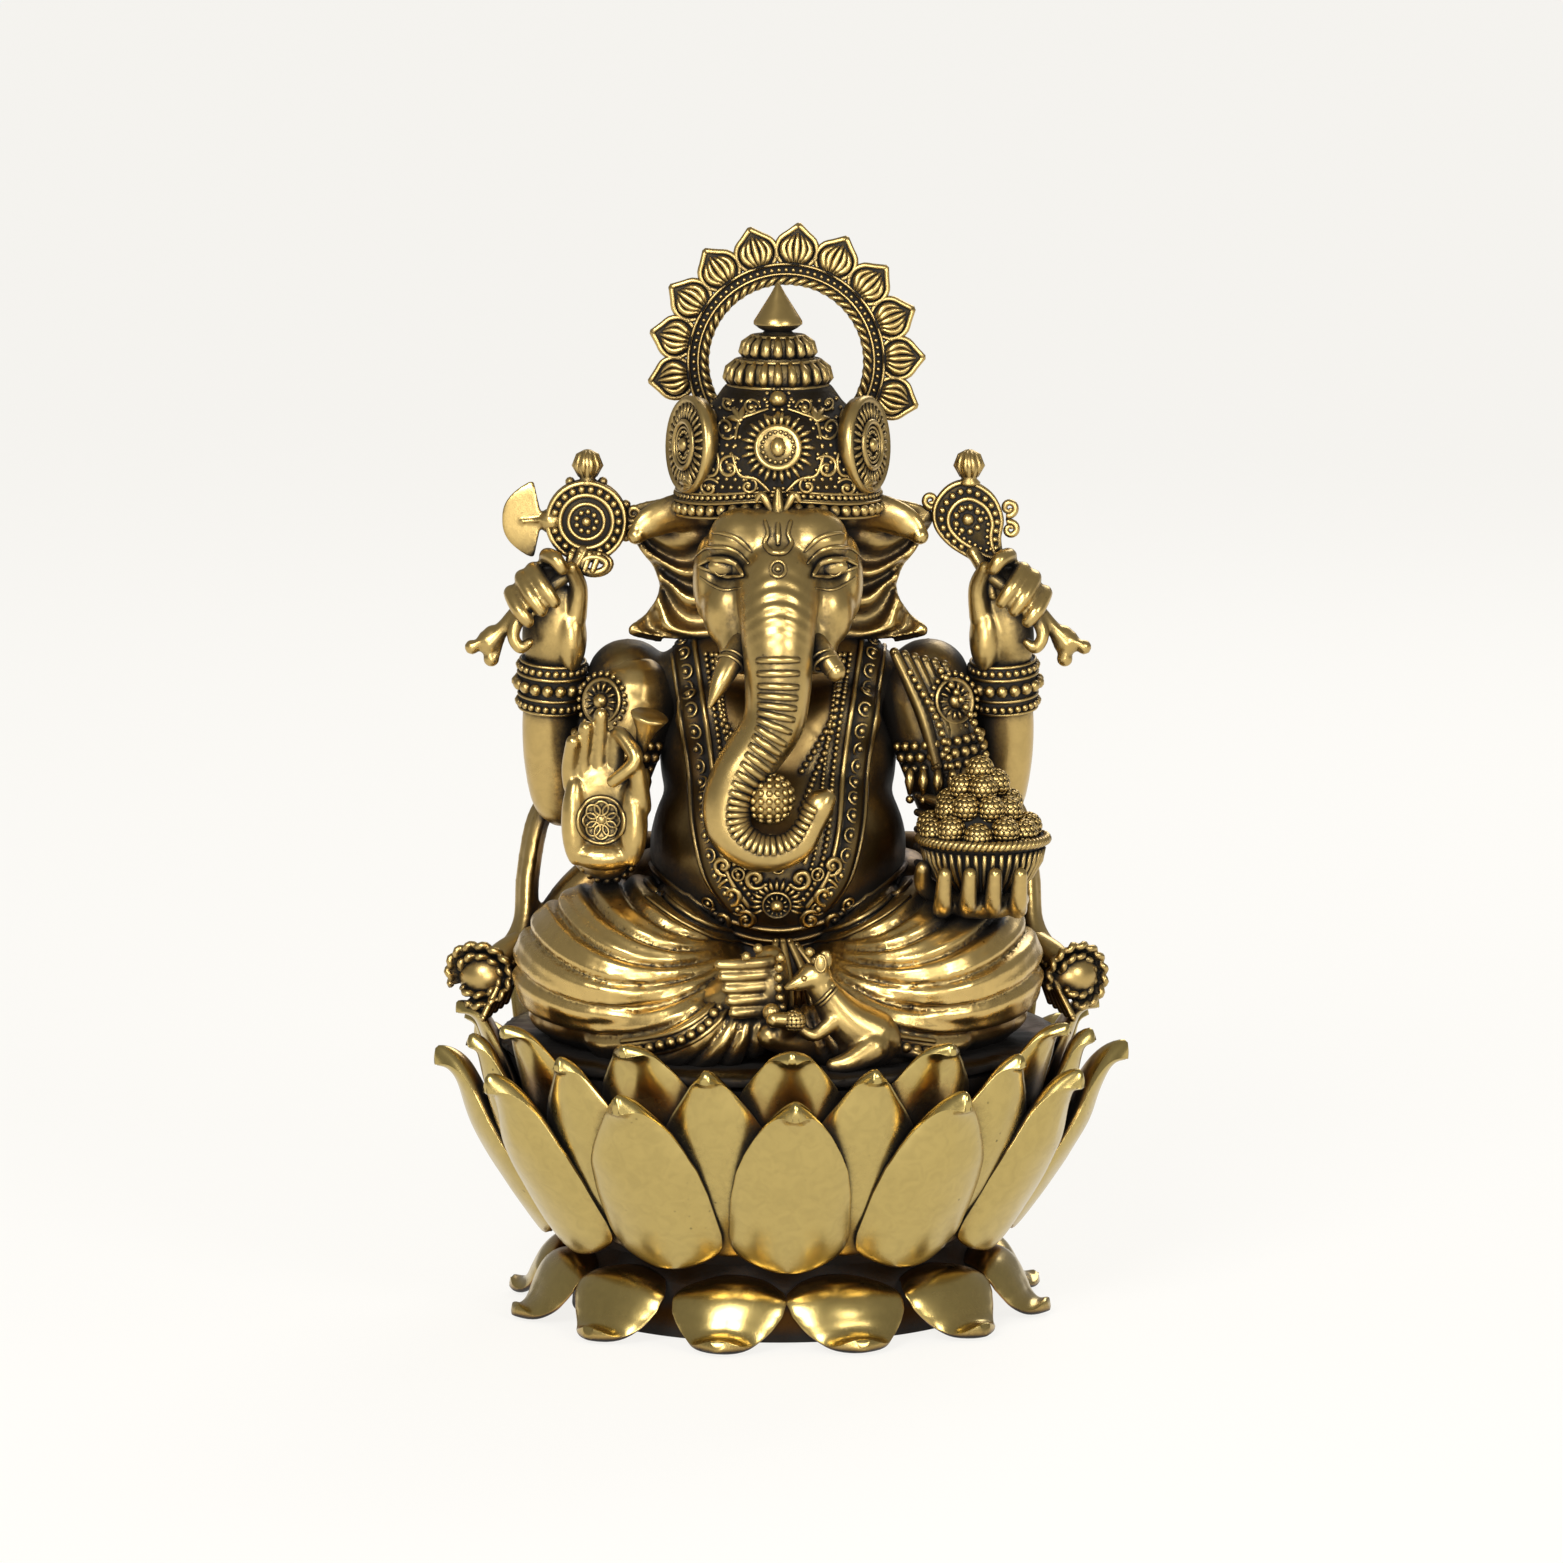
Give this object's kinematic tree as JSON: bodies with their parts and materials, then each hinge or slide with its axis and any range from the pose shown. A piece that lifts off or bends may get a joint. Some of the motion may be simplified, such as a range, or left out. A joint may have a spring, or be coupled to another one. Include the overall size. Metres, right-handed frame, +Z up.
{
  "type": "hindu deity statue",
  "caption": "Cast brass elephant-headed deity seated cross-legged on a double lotus base, four arms with emblems, tall crown and a pivoting halo ring behind it.",
  "frame": {"origin": "centre of the flat underside of the base", "axes": "+Z up towards the crown, the figure faces -Y, +X to the viewer's right"},
  "size_m": [0.177, 0.177, 0.2805],
  "materials": {
    "polished_brass": "polished casting with darker edges",
    "satin_brass": "antique satin, brown in the hollows",
    "ornament_brass": "antique, blackened recesses and rubbed high points",
    "dark_brass": "blackened rough casting"
  },
  "bodies": {
    "figure": {"armlets": "ornament_brass", "axe_blade": "satin_brass", "axe_disc": "ornament_brass", "axe_handle": "satin_brass", "base_plate": "dark_brass", "bowl": "ornament_brass", "brow_band": "ornament_brass", "crown_dome": "ornament_brass", "crown_finial": "satin_brass", "crown_lower_tier": "ornament_brass", "crown_medallion": "ornament_brass", "crown_side_discs": "ornament_brass", "crown_upper_tier": "ornament_brass", "front_left_forearm": "satin_brass", "front_left_hand": "satin_brass", "front_left_upper_arm": "satin_brass", "front_pleats": "satin_brass", "front_right_forearm": "satin_brass", "front_right_hand": "satin_brass", "front_right_upper_arm": "satin_brass", "garland": "ornament_brass", "halo_pin": "ornament_brass", "halo_socket": "dark_brass", "head": "satin_brass", "hem_bands": "ornament_brass", "left_ear": "satin_brass", "left_foot": "satin_brass", "left_leg": "satin_brass", "lotus_core": "dark_brass", "lower_petals": "polished_brass", "middle_petals": "polished_brass", "mouse": "satin_brass", "mouse_sweet": "ornament_brass", "noose_handle": "satin_brass", "noose_plate": "ornament_brass", "outer_petals": "polished_brass", "pendant_plate": "ornament_brass", "rear_bracelets": "ornament_brass", "rear_left_forearm": "satin_brass", "rear_left_hand": "satin_brass", "rear_left_upper_arm": "satin_brass", "rear_right_forearm": "satin_brass", "rear_right_hand": "satin_brass", "rear_right_upper_arm": "satin_brass", "right_ear": "satin_brass", "right_foot": "satin_brass", "right_leg": "satin_brass", "seat_plate": "dark_brass", "stole_left": "satin_brass", "stole_right": "satin_brass", "stole_ruffles": "ornament_brass", "sweets": "ornament_brass", "torso": "satin_brass", "trunk": "satin_brass", "trunk_sweet": "ornament_brass", "tusks": "satin_brass", "upper_petals": "polished_brass", "waist_sash": "dark_brass"},
    "halo": {"halo_ring": "ornament_brass", "halo_petals": "ornament_brass"}
  },
  "joints": [
    {"name": "halo_tilt", "type": "hinge", "parent": "figure", "child": "halo", "pos_m": [0, 0.0267, 0.2218], "axis": [0, 1, 0], "range_deg": [-15, 5]}
  ]
}
